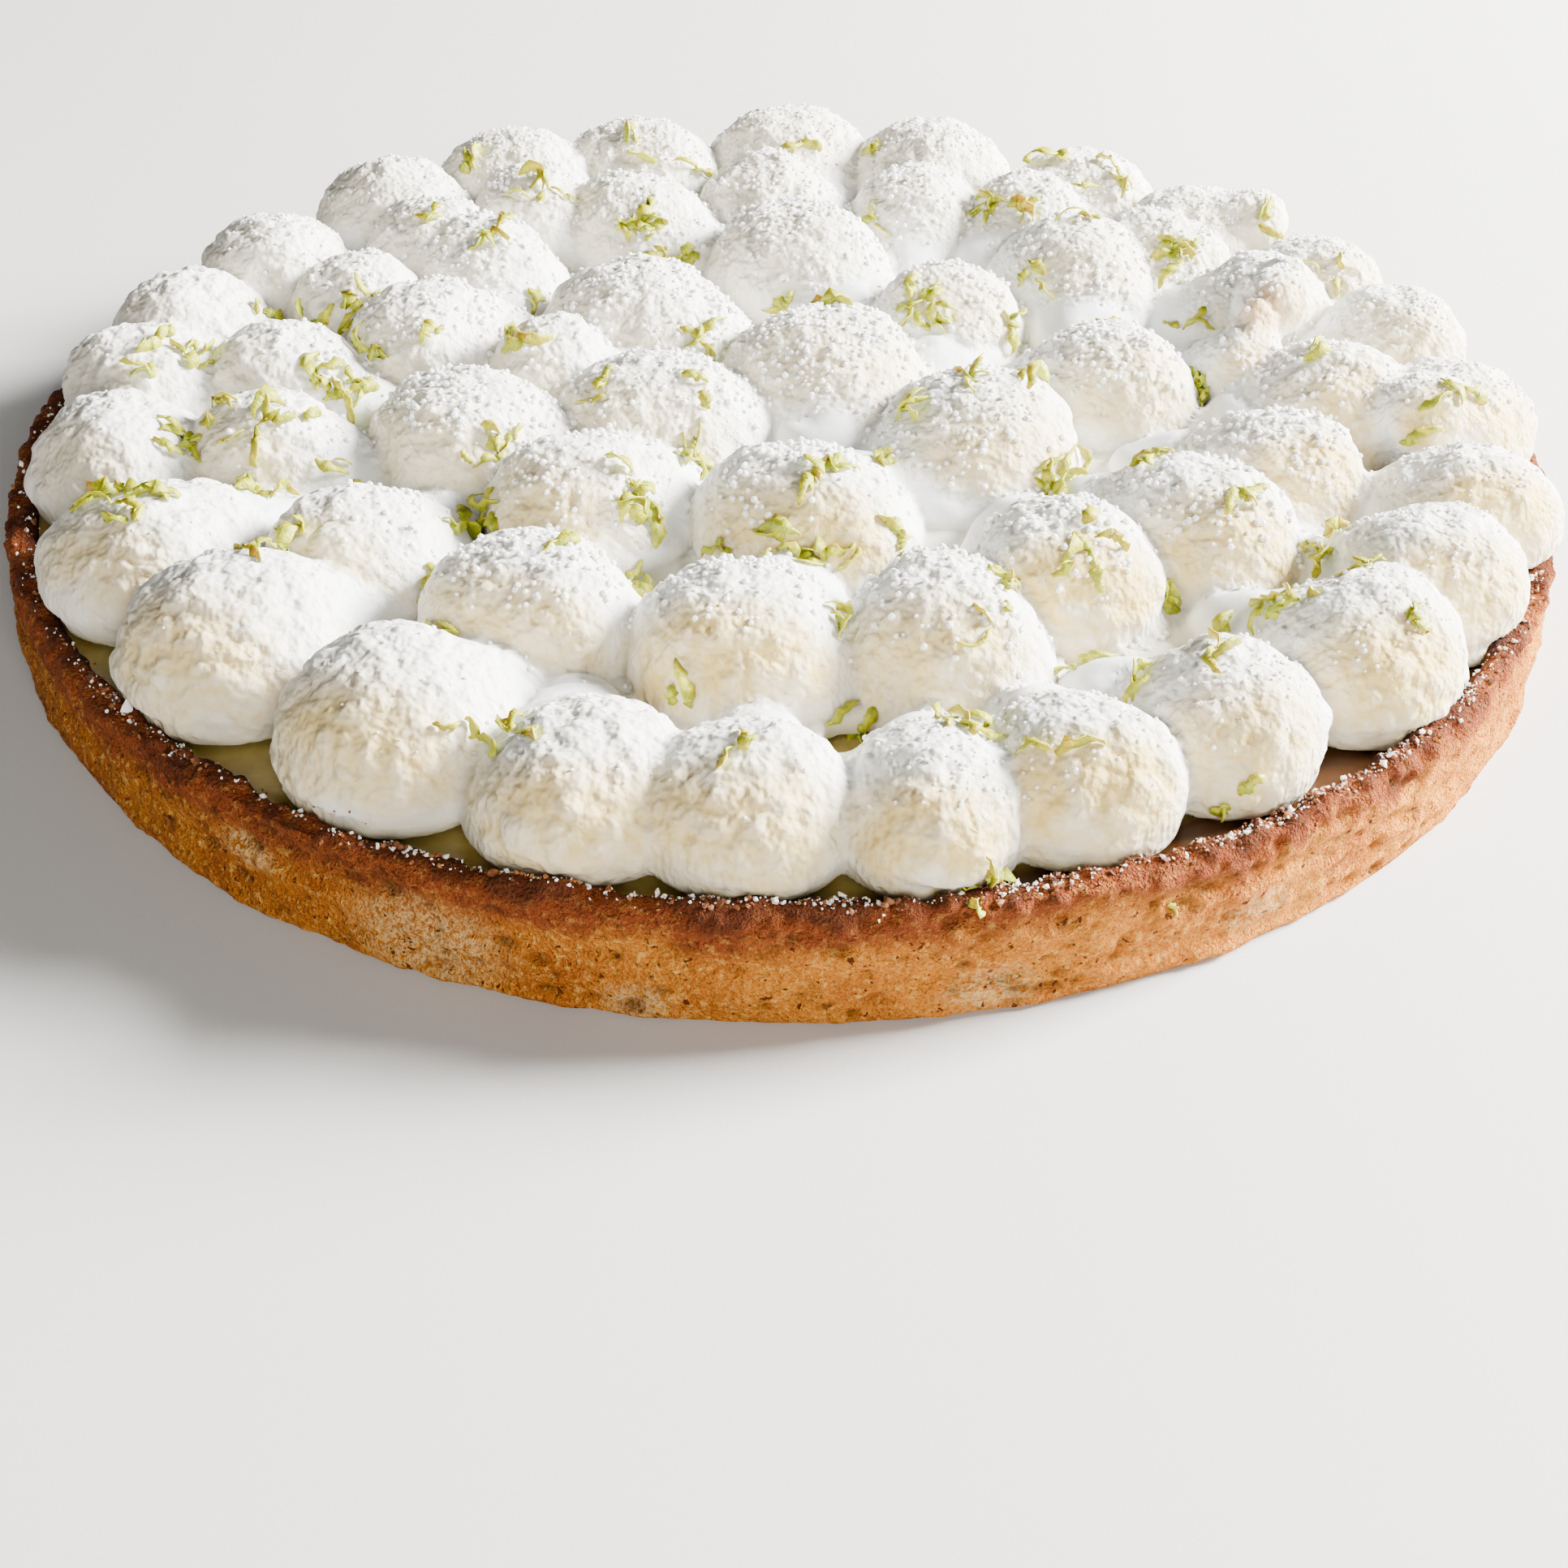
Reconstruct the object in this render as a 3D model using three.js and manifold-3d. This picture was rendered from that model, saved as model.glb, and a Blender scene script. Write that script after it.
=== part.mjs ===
// A lemon meringue pie: a straight-sided shortcrust shell filled level with lemon curd, and
// covered with plump piped dollops of meringue that have run together at their feet, with
// shreds of lime zest lying on them.
// Millimetres, +Z up, the origin in the middle of the flat underside, the front towards -Y.

import * as THREE from 'three';
import { mergeVertices } from 'three/addons/utils/BufferGeometryUtils.js';
import Module from 'manifold-3d';

const wasm = await Module();
wasm.setup();

// ---------------------------------------------------------------- driving dimensions

const GAP = 0.3; // clearance kept between two neighbouring pieces

// The shell: baked in a 24 cm ring, so its wall is upright
const SHELL_RADIUS = 119;
const SHELL_HEIGHT = 17.5;
const WALL_THICKNESS = 4.3;
const FLOOR_THICKNESS = 3.5;
const RIM_ROUNDING = 1.4;
const RIM_WAVE = 0.45; // how far the top of the rim rises and falls
const WALL_WAVE = 0.5; // how far the side swells and sinks
const SHELL_SIDES = 64;

// The curd fills the shell to just under the rim
const CURD_TOP = 14.7;
const CURD_SIDES = 48;

// The meringue. A dollop is widest at its waist, and its tail is drawn out behind the head
const WAIST_HEIGHT = 4.4; // of the waist above the meringue's underside
const RISE_BASE = 6.4; // the head rises RISE_BASE + RISE_SHARE of its width above the waist
const RISE_SHARE = 0.2;
const TAIL_STRETCH = 1.36; // length of the tail, in half widths
const TAIL_DROP = 0.42; // how much lower the tail's end is than the head
const TAIL_TAPER = 0.16;
const DOLLOP_SIDES = 12;
const DOLLOP_ROWS = 6;
const UNEVENNESS = 0.045; // of a dollop, as a share of its size
const BED_RADIUS = 93; // where the dollops' feet have run together into one sheet
const BED_HEIGHT = 6.4;

// Dollops: direction in degrees, 270 being the front, distance from the middle, width.
// The left front has the plumpest along the rim
const RIM_RING = [
  [268, 103, 27], [280, 103, 25], [292, 102, 26], [305, 102, 27], [320, 103, 28],
  [332, 104, 28], [345, 105, 26], [0, 105, 27], [14, 105, 26], [28, 104, 25],
  [43, 103, 26], [57, 102, 27], [74, 100, 30], [90, 102, 30], [106, 100, 30],
  [120, 101, 29], [135, 101, 28], [152, 100, 27], [166, 102, 26], [178, 102, 26],
  [191, 102, 26], [207, 100, 30], [223, 100, 31], [241, 100, 31], [256, 102, 29],
];
const SECOND_RING = [
  [267, 66, 31], [289, 69, 30], [310, 61, 29], [329, 70, 31], [344, 75, 29],
  [3, 85, 29], [25, 88, 27], [41, 87, 26], [58, 85, 25], [73, 80, 27],
  [91, 78, 28], [110, 74, 29], [122, 83, 25], [139, 84, 25], [156, 79, 25],
  [174, 79, 27], [192, 78, 27], [218, 74, 28], [241, 68, 31],
];
const MIDDLE = [
  [278, 33, 32], [337, 32, 34], [9, 53, 28], [44, 70, 32], [51, 43, 25],
  [87, 54, 33], [137, 69, 28], [132, 35, 35], [161, 60, 29], [195, 49, 32],
  [228, 40, 30], [192, 20, 33], [50, 12, 35], [12, 76, 18], [164, 38, 22],
];
// Smaller lumps on some of them: direction, distance, height of the middle, half width, half height
const LUMPS = [
  [356, 99, 26, 8, 6.5], [344, 108, 22, 9, 8], [39, 108, 25.5, 6.5, 6],
  [17, 84, 30, 6.5, 5.5], [21, 89, 28.5, 5, 6], [13, 78, 27, 3, 7],
];
const LUMP_SIDES = 8;
const LUMP_ROWS = 4;
const RIM_SKEW = 14; // most a tail turns away from pointing at the middle, in degrees
const MIDDLE_SKEW = 50;

// Lime zest: direction in degrees, distance from the middle, number of shreds
const ZEST = [
  [185, 67, 3], [161, 74, 1], [133, 75, 2], [146, 53, 1], [165, 45, 1], [122, 84, 1],
  [114, 61, 2], [110, 48, 1], [95, 106, 1], [128, 18, 1], [85, 28, 1], [50, 34, 2],
  [31, 43, 1], [62, 82, 2], [57, 102, 1], [37, 85, 2], [0, 65, 2], [355, 98, 1],
  [321, 51, 2], [332, 76, 1], [4, 29, 1], [282, 30, 2], [246, 30, 2], [243, 45, 1],
  [225, 60, 2], [254, 67, 2], [270, 50, 1], [276, 96, 2], [286, 95, 2], [289, 103, 1], [299, 66, 1],
  [309, 82, 1], [318, 93, 2], [326, 92, 1], [207, 84, 1], [203, 101, 1], [177, 97, 1],
  [196, 90, 2], [192, 80, 1],
];
const ZEST_LENGTH = 5.4;
const ZEST_WIDTH = 1.7;
const ZEST_SPREAD = 4.2; // how far from its place a shred of a clump lies
const ZEST_PROUD = 0.55; // of the meringue
const ZEST_SUNK = 2;
const ZEST_STEPS = 2;
const ZEST_STEEPEST = 1.3; // a shred never drops faster than this, in mm per mm

const SEED = 20240117;

// ---------------------------------------------------------------- helpers

const toRadians = THREE.MathUtils.degToRad;

// A repeatable random number from 0 to 1: the minimal standard generator
function randomFrom(seed) {
  let state = seed % 2147483647;
  return () => {
    state = (state * 16807) % 2147483647;
    return state / 2147483647;
  };
}

// A gentle wave round the shell, in the range of about -1 to 1, the same after a full turn
function wave(angle, phase) {
  const slow = Math.sin(3 * angle + phase) + 0.8 * Math.sin(7 * angle + 2.3 * phase);
  const quick = 0.6 * Math.sin(16 * angle + 4.1 * phase) + 0.5 * Math.sin(29 * angle + 1.7 * phase);
  return (slow + quick) / 2.2;
}

function onlyPosition(geometry) {
  geometry.deleteAttribute('normal');
  geometry.deleteAttribute('uv');
  return mergeVertices(geometry, 1e-4);
}

// Turns a half section of [radius, height] points about +Z
function turned(section, sides) {
  const points = section.map(([radius, height]) => new THREE.Vector2(radius, height));
  const geometry = new THREE.LatheGeometry(points, sides);
  geometry.rotateX(Math.PI / 2);
  return onlyPosition(geometry);
}

function toSolid(geometry) {
  const vertProperties = new Float32Array(geometry.attributes.position.array);
  const triVerts = new Uint32Array(geometry.index.array);
  const solid = new wasm.Manifold(new wasm.Mesh({ numProp: 3, vertProperties, triVerts }));
  if (solid.volume() > 0) {
    return solid;
  }
  for (let i = 0; i < triVerts.length; i += 3) {
    [triVerts[i], triVerts[i + 1]] = [triVerts[i + 1], triVerts[i]];
  }
  return new wasm.Manifold(new wasm.Mesh({ numProp: 3, vertProperties, triVerts }));
}

function toGeometry(solid) {
  const mesh = solid.getMesh();
  const geometry = new THREE.BufferGeometry();
  geometry.setAttribute('position', new THREE.BufferAttribute(mesh.vertProperties, 3));
  geometry.setIndex(new THREE.BufferAttribute(mesh.triVerts, 1));
  geometry.computeVertexNormals();
  return geometry;
}

function piece(name, solid, color, roughness) {
  const material = new THREE.MeshStandardMaterial({ color, roughness, metalness: 0 });
  const mesh = new THREE.Mesh(toGeometry(solid), material);
  mesh.name = name;
  return mesh;
}

// ---------------------------------------------------------------- the shell

const INSIDE_RADIUS = SHELL_RADIUS - WALL_THICKNESS;

function shell() {
  const geometry = turned([
    [0, 0],
    [SHELL_RADIUS - 1.2, 0],
    [SHELL_RADIUS - 0.2, 0.9],
    [SHELL_RADIUS, 4.5],
    [SHELL_RADIUS, 9],
    [SHELL_RADIUS, SHELL_HEIGHT - 2 * RIM_ROUNDING],
    [SHELL_RADIUS - 0.3 * RIM_ROUNDING, SHELL_HEIGHT - 0.5 * RIM_ROUNDING],
    [SHELL_RADIUS - RIM_ROUNDING, SHELL_HEIGHT],
    [INSIDE_RADIUS + RIM_ROUNDING, SHELL_HEIGHT],
    [INSIDE_RADIUS + 0.2 * RIM_ROUNDING, SHELL_HEIGHT - 0.6 * RIM_ROUNDING],
    [INSIDE_RADIUS, SHELL_HEIGHT - 1.8 * RIM_ROUNDING],
    [INSIDE_RADIUS, FLOOR_THICKNESS + 1.5],
    [INSIDE_RADIUS - 1.5, FLOOR_THICKNESS],
    [0, FLOOR_THICKNESS],
  ], SHELL_SIDES);
  const position = geometry.attributes.position;
  for (let i = 0; i < position.count; i += 1) {
    const x = position.getX(i);
    const y = position.getY(i);
    const z = position.getZ(i);
    const radius = Math.hypot(x, y);
    const angle = Math.atan2(y, x);
    // The rim waves up and down, the outside swells in and out, and the underside stays flat
    const nearRim = THREE.MathUtils.smoothstep(z, SHELL_HEIGHT - 3, SHELL_HEIGHT - 1);
    const onSide = radius > SHELL_RADIUS - 1.3 && z > 0 ? 1 : 0;
    const swell = onSide * WALL_WAVE * wave(angle, 1 + 0.35 * z);
    position.setXYZ(
      i,
      x * (1 + swell / SHELL_RADIUS),
      y * (1 + swell / SHELL_RADIUS),
      z + nearRim * RIM_WAVE * wave(angle, 5 + 0.4 * (radius - INSIDE_RADIUS)),
    );
  }
  return toSolid(geometry);
}

// ---------------------------------------------------------------- the curd

function curd() {
  const radius = INSIDE_RADIUS - GAP;
  const bottom = FLOOR_THICKNESS + GAP;
  return toSolid(turned([
    [0, bottom],
    [radius - 1.5, bottom],
    [radius, bottom + 1.5],
    [radius, CURD_TOP - 0.8],
    [radius - 1.2, CURD_TOP - 0.1],
    [radius - 4, CURD_TOP],
    [0, CURD_TOP],
  ], CURD_SIDES));
}

// ---------------------------------------------------------------- the meringue

const UNDERSIDE = CURD_TOP + GAP;
const WAIST = UNDERSIDE + WAIST_HEIGHT;

// A dollop is a place, a half width, a rise above the waist and the way its tail points
function dollops() {
  const random = randomFrom(SEED);
  return [...RIM_RING, ...SECOND_RING, ...MIDDLE].map(([degrees, radius, width]) => {
    const angle = toRadians(degrees);
    const skew = radius > BED_RADIUS ? RIM_SKEW : MIDDLE_SKEW;
    return {
      x: radius * Math.cos(angle),
      y: radius * Math.sin(angle),
      half: width / 2,
      rise: RISE_BASE + RISE_SHARE * width + 1.6 * (random() - 0.5),
      tail: angle + Math.PI + toRadians(skew) * (2 * random() - 1),
      phase: 6.28 * random(),
    };
  });
}

// How far the surface of a dollop stands off its egg shape in a direction
function unevenness(dollop, across, along, up) {
  const broad = Math.sin(2.6 * across + dollop.phase) + Math.sin(2.2 * along + 2 * dollop.phase);
  return 1 + UNEVENNESS * (broad + Math.sin(3.1 * up + 3 * dollop.phase)) / 1.5;
}

function dollopSolid(dollop) {
  const geometry = new THREE.SphereGeometry(1, DOLLOP_SIDES, DOLLOP_ROWS);
  geometry.rotateX(Math.PI / 2);
  const position = geometry.attributes.position;
  const cosine = Math.cos(dollop.tail);
  const sine = Math.sin(dollop.tail);
  for (let i = 0; i < position.count; i += 1) {
    const along = position.getX(i);
    const across = position.getY(i);
    const up = position.getZ(i);
    const tail = Math.max(0, along);
    const size = dollop.half * unevenness(dollop, across, along, up);
    const forward = along * size * (tail > 0 ? TAIL_STRETCH : 1);
    const sideways = across * size * (1 - TAIL_TAPER * tail);
    const height = up > 0 ? dollop.rise * (1 - TAIL_DROP * tail * tail) : 1.5 * WAIST_HEIGHT;
    position.setXYZ(
      i,
      dollop.x + forward * cosine - sideways * sine,
      dollop.y + forward * sine + sideways * cosine,
      WAIST + up * height,
    );
  }
  return toSolid(onlyPosition(geometry));
}

function lumpSolid([degrees, radius, middle, half, rise]) {
  const angle = toRadians(degrees);
  const geometry = new THREE.SphereGeometry(1, LUMP_SIDES, LUMP_ROWS);
  geometry.rotateX(Math.PI / 2);
  geometry.scale(half, half, rise);
  geometry.translate(radius * Math.cos(angle), radius * Math.sin(angle), middle);
  return toSolid(onlyPosition(geometry));
}

// Finds how high a surface stands at a place, looking straight down on it
function heightFinder(solid) {
  const surface = new THREE.Mesh(toGeometry(solid));
  const down = new THREE.Vector3(0, 0, -1);
  return (x, y) => {
    const caster = new THREE.Raycaster(new THREE.Vector3(x, y, 2 * SHELL_RADIUS), down);
    const hits = caster.intersectObject(surface);
    return hits.length > 0 ? hits[0].point.z : UNDERSIDE;
  };
}

// The sheet under the dollops. Its underside is the meringue's
function bed() {
  return toSolid(turned([
    [0, UNDERSIDE],
    [BED_RADIUS, UNDERSIDE],
    [BED_RADIUS - 2, UNDERSIDE + BED_HEIGHT],
    [0, UNDERSIDE + BED_HEIGHT],
  ], 36));
}

// A shred follows the surface that it lies on: a strip of a few steps, its lower face sunk in
function zestSolid(middleX, middleY, direction, length, heightAt) {
  const geometry = new THREE.BoxGeometry(length, ZEST_WIDTH, 1, ZEST_STEPS, 1, 1);
  const position = geometry.attributes.position;
  const ground = heightAt(middleX, middleY);
  for (let i = 0; i < position.count; i += 1) {
    const forward = position.getX(i);
    const curl = 0.06 * forward * forward;
    const sideways = position.getY(i) * (1 - 0.5 * Math.abs(forward) / length) + curl;
    const x = middleX + forward * Math.cos(direction) - sideways * Math.sin(direction);
    const y = middleY + forward * Math.sin(direction) + sideways * Math.cos(direction);
    const reach = ZEST_STEEPEST * Math.hypot(forward, sideways);
    const z = THREE.MathUtils.clamp(heightAt(x, y), ground - reach, ground + reach);
    position.setXYZ(i, x, y, z + (position.getZ(i) > 0 ? ZEST_PROUD : -ZEST_SUNK));
  }
  return toSolid(onlyPosition(geometry));
}

function zest(heightAt) {
  const random = randomFrom(SEED + 4);
  const shreds = [];
  for (const [degrees, radius, count] of ZEST) {
    const x = radius * Math.cos(toRadians(degrees));
    const y = radius * Math.sin(toRadians(degrees));
    for (let i = 0; i < count; i += 1) {
      const away = i === 0 ? 0 : ZEST_SPREAD * (0.5 + 0.5 * random());
      const way = 2 * Math.PI * random();
      const direction = Math.PI * random();
      const length = ZEST_LENGTH * (0.7 + 0.6 * random());
      shreds.push([x + away * Math.cos(way), y + away * Math.sin(way), direction, length]);
    }
  }
  return shreds.map(([x, y, direction, length]) => zestSolid(x, y, direction, length, heightAt));
}

// What the meringue has to keep out of: the rim, with its clearance
function rimClearance() {
  const inside = INSIDE_RADIUS - GAP;
  const outside = SHELL_RADIUS + 20;
  const top = SHELL_HEIGHT + RIM_WAVE + 0.2 + GAP;
  return toSolid(turned([
    [inside, 0],
    [outside, 0],
    [outside, top],
    [inside, top],
    [inside, 0],
  ], CURD_SIDES));
}

// Everything below the meringue's flat underside
function belowUnderside() {
  const depth = 40;
  const geometry = new THREE.BoxGeometry(400, 400, depth);
  geometry.translate(0, 0, UNDERSIDE - depth / 2);
  return toSolid(onlyPosition(geometry));
}

function meringue() {
  let solid = bed();
  for (const dollop of dollops()) {
    solid = solid.add(dollopSolid(dollop));
  }
  for (const row of LUMPS) {
    solid = solid.add(lumpSolid(row));
  }
  for (const shred of zest(heightFinder(solid))) {
    solid = solid.add(shred);
  }
  return solid.subtract(belowUnderside()).subtract(rimClearance());
}

// ---------------------------------------------------------------- the pie

const pie = new THREE.Group();
pie.add(piece('crust', shell(), 0xc08a52, 0.85));
pie.add(piece('lemon_curd', curd(), 0xa8964e, 0.35));
pie.add(piece('meringue', meringue(), 0xf4f1ea, 0.6));

export default pie;
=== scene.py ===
"""The looks of a lemon meringue pie: a baked shell, lemon curd, piped meringue dollops that are
toasted on their heads and dusted with sugar beads, shreds of lime zest, and crumbs on the rim.

Sizes and places are in millimetres, as in the part's own source, and become metres only where
a mesh is made. Directions round the pie are in degrees, 270 being the front.
"""

import itertools
import math

import bmesh
import bpy
import numpy as np
from mathutils import Matrix, Vector
from mathutils.bvhtree import BVHTree


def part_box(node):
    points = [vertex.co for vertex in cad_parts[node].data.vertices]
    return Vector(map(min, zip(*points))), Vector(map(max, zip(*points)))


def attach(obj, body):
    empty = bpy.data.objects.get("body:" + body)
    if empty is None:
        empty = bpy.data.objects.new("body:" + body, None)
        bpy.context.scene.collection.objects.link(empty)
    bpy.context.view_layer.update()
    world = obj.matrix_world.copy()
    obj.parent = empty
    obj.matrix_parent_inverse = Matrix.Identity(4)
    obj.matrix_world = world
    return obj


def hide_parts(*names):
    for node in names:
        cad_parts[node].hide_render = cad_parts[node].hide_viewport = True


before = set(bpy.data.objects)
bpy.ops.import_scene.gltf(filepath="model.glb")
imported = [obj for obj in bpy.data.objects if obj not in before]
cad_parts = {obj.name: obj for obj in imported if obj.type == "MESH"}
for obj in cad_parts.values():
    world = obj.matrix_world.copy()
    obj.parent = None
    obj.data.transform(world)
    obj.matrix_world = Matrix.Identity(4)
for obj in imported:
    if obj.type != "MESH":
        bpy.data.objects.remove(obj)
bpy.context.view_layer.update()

MM = 0.001
SEED = 20240117

# ------------------------------------------------------------------ sizes, from the frame

# The shell's own sizes stand in the part's source with the same names
SHELL_RADIUS = 119.0
WALL_THICKNESS = 4.3
INSIDE_RADIUS = SHELL_RADIUS - WALL_THICKNESS
SHELL_HEIGHT = 17.5
RIM_ROUNDING = 1.4
RIM_WAVE = 0.45
WALL_WAVE = 0.5
GAP = 0.3
CURD_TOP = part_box("lemon_curd")[1].z / MM
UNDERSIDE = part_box("meringue")[0].z / MM

# ------------------------------------------------------------------ where the dollops are

# A dollop is widest at its waist. Its top lies RISE_BASE + RISE_SHARE of its width above that,
# give or take half of RISE_CHANGE
WAIST = UNDERSIDE + 4.4
RISE_BASE = 6.4
RISE_SHARE = 0.2
RISE_CHANGE = 1.6
# Direction, distance from the middle and width of each
RIM_RING = [
    (268, 103, 27), (280, 103, 25), (292, 102, 26), (305, 102, 27), (320, 103, 28),
    (332, 104, 28), (345, 105, 26), (0, 105, 27), (14, 105, 26), (28, 104, 25),
    (43, 103, 26), (57, 102, 27), (74, 100, 30), (90, 102, 30), (106, 100, 30),
    (120, 101, 29), (135, 101, 28), (152, 100, 27), (166, 102, 26), (178, 102, 26),
    (191, 102, 26), (207, 100, 30), (223, 100, 31), (241, 100, 31), (256, 102, 29),
]
SECOND_RING = [
    (267, 66, 31), (289, 69, 30), (310, 61, 29), (329, 70, 31), (344, 75, 29),
    (3, 85, 29), (25, 88, 27), (41, 87, 26), (58, 85, 25), (73, 80, 27),
    (91, 78, 28), (110, 74, 29), (122, 83, 25), (139, 84, 25), (156, 79, 25),
    (174, 79, 27), (192, 78, 27), (218, 74, 28), (241, 68, 31),
]
MIDDLE = [
    (278, 33, 32), (337, 32, 34), (9, 53, 28), (44, 70, 32), (51, 43, 25),
    (87, 54, 33), (137, 69, 28), (132, 35, 35), (161, 60, 29), (195, 49, 32),
    (228, 40, 30), (192, 20, 33), (50, 12, 35), (12, 76, 18), (164, 38, 22),
]
# The most that a tail turns away from pointing at the middle
RIM_SKEW = 14
MIDDLE_SKEW = 50
# The sheet into which the dollops' feet have run together
BED_RADIUS = 93
BED_TOP = UNDERSIDE + 3
# Smaller lumps on the dollops: direction, distance, height of the middle, half width, half height
LUMPS = [
    (356, 99, 26.0, 8.0, 6.5), (344, 108, 22.0, 9.0, 8.0), (39, 108, 25.5, 6.5, 6.0),
    (17, 84, 30.0, 6.5, 5.5), (21, 89, 28.5, 5.0, 6.0), (13, 78, 27.0, 3.0, 7.0),
]
# Openings in the bed where the curd shows: direction, distance from the middle and radius
OPENINGS = [(259, 76, 3.0), (277, 82, 4.0), (304, 77, 3.0)]
# The tan tip of the tall dollop on the right
PEAK = (76, 17.5, 33)
VOXEL = 0.8

# ------------------------------------------------------------------ zest, beads and crumbs

# Tufts of zest: where each shows in the picture, in pixels from its left and its top, and how
# much zest there is
PICTURE_SIZE = 1932
ZEST = [
    (430, 480, 4), (440, 375, 3), (455, 435, 1), (605, 285, 3), (645, 360, 1), (632, 420, 2),
    (670, 240, 3), (580, 210, 1), (535, 265, 1), (770, 180, 1), (790, 285, 4), (850, 318, 3),
    (905, 135, 2), (980, 175, 1), (1080, 185, 1), (865, 210, 1), (880, 415, 3), (960, 370, 1),
    (1030, 375, 1), (1130, 380, 4), (1245, 395, 1), (1270, 345, 1), (1230, 245, 4), (1085, 270, 1),
    (1305, 195, 1), (1370, 215, 2), (1345, 270, 1), (1450, 310, 4), (1350, 395, 1), (1555, 275, 1),
    (1645, 345, 1), (1460, 410, 1), (1480, 480, 3), (1615, 440, 1), (1795, 480, 1), (1750, 535, 2),
    (1430, 560, 2), (1300, 600, 5), (1540, 615, 2), (1190, 465, 2), (1262, 460, 1), (1110, 515, 1),
    (1015, 580, 3), (1080, 570, 1), (860, 570, 4), (790, 630, 3), (775, 590, 1), (600, 630, 3),
    (560, 655, 1), (680, 670, 1), (790, 735, 3), (595, 565, 1), (630, 535, 1), (735, 485, 1),
    (865, 475, 1), (965, 670, 3), (905, 670, 1), (1020, 690, 2), (1020, 745, 1), (1105, 670, 1),
    (1065, 905, 4), (1190, 890, 3), (1235, 715, 2), (1340, 675, 2), (1225, 765, 1), (1440, 740, 1),
    (1302, 930, 1), (1322, 825, 1), (1400, 842, 1), (1500, 812, 1), (1520, 760, 1), (1595, 740, 3),
    (1690, 697, 1), (1620, 680, 2), (1745, 765, 1), (525, 700, 1), (370, 655, 1), (425, 590, 1),
    (320, 610, 2), (305, 675, 1), (145, 610, 2), (170, 640, 1), (190, 600, 2), (200, 425, 1),
    (190, 455, 1), (240, 440, 2), (235, 550, 3), (315, 520, 2), (290, 495, 1), (365, 515, 1),
    (385, 465, 2), (320, 385, 1), (385, 395, 1), (535, 400, 1), (570, 900, 1), (625, 905, 1),
    (535, 765, 1), (840, 865, 1), (915, 912, 1), (1195, 1090, 2), (1515, 990, 1), (1450, 1125, 0.4),
]
# Pale crumbly patches on the side: direction, height and reach
PALE_PATCHES = [(249, 6.5, 14), (236, 10, 6), (283, 4, 8), (301, 6, 7), (262, 3, 6)]
# The largest pits in the side: direction, height, size and how much wider than high
LARGE_PITS = [(264, 11.5, 1.2, 1.1), (291, 7.5, 1.5, 0.6), (293, 10, 1.0, 0.7),
              (236, 11.5, 1.2, 1.6), (276, 4, 1.1, 1.5), (315, 8, 0.9, 1.2)]
PITS = 700
BEADS = 6500
SUGAR_CRUMBS = 1500
CRUST_CRUMBS = 1900
# Where sugar and bits of meringue are heaped on the rim, as directions
SMEARS = [222, 246, 256, 267, 275, 286, 299, 307, 314, 322, 331, 341]
# White chips on the rim: direction, distance from the middle and size
CHIPS = [(222.5, 115.8, 1.6), (256.5, 114.6, 1.6), (263, 115.2, 1.2)]

# ------------------------------------------------------------------ the camera

CAMERA_PLACE = (0, -321.98, 190.31)
CAMERA_LENS = 52.17
SENSOR = 36
# How far the camera is turned down and to the right, and rolled, in degrees
CAMERA_DOWN = 37.0
CAMERA_RIGHT = 0.24
CAMERA_ROLL = 1.11

# ------------------------------------------------------------------ repeatable randomness

# Of the Lehmer generator that the part's source uses
MODULUS = 2147483647
MULTIPLIER = 16807
# Large primes that scatter neighbouring cells, and one that scatters the seeds
SCATTER = (73856093, 19349663, 83492791)
SEED_SCATTER = 2654435761
STIR = 1274126177
LARGEST = 0xFFFF


def random_from(seed):
    """The same numbers from 0 to 1 as the part's source draws."""
    state = seed % MODULUS
    while True:
        state = (state * MULTIPLIER) % MODULUS
        yield state / MODULUS


def lattice(cells, seed):
    """A repeatable number from -1 to 1 for each whole-number cell."""
    x, y, z = (cells[..., i].astype(np.int64) * SCATTER[i] for i in range(3))
    mixed = x ^ y ^ z ^ (seed * SEED_SCATTER)
    mixed = (mixed ^ (mixed >> 13)) * STIR
    mixed = mixed ^ (mixed >> 16)
    return (mixed & LARGEST) / (LARGEST / 2) - 1


def noise(points, size, seed=0):
    """Smooth values from about -1 to 1, in bumps of that size."""
    scaled = points / size
    low = np.floor(scaled)
    part = scaled - low
    part = part * part * part * (part * (part * 6 - 15) + 10)
    total = np.zeros(len(points))
    for corner in itertools.product((0, 1), repeat=3):
        share = np.prod(np.where(corner, part, 1 - part), axis=1)
        total += share * lattice(low + corner, seed)
    return total


def ridges(points, size, seed=0):
    """Narrow creases between soft swellings: 0 in a crease, 1 on a swelling."""
    bending = np.stack([noise(points, 1.3 * size, seed + i) for i in (1, 2, 3)], axis=1)
    bent = points + 0.45 * size * bending
    return np.abs(noise(bent, size, seed + 4)) ** 0.7


def step_up(values, low, high):
    """0 below low, 1 above high, and smooth between them."""
    part = np.clip((values - low) / (high - low), 0, 1)
    return part * part * (3 - 2 * part)


# ------------------------------------------------------------------ meshes


def mesh_piece(name, points, faces, material, smooth=True):
    """A mesh from points in millimetres, riding on the pie."""
    mesh = bpy.data.meshes.new(name)
    mesh.from_pydata((np.asarray(points) * MM).tolist(), [], [list(face) for face in faces])
    mesh.polygons.foreach_set("use_smooth", [smooth] * len(mesh.polygons))
    mesh.update()
    mesh.materials.append(material)
    made = bpy.data.objects.new(name, mesh)
    bpy.context.scene.collection.objects.link(made)
    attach(made, "root")
    return made


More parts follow.
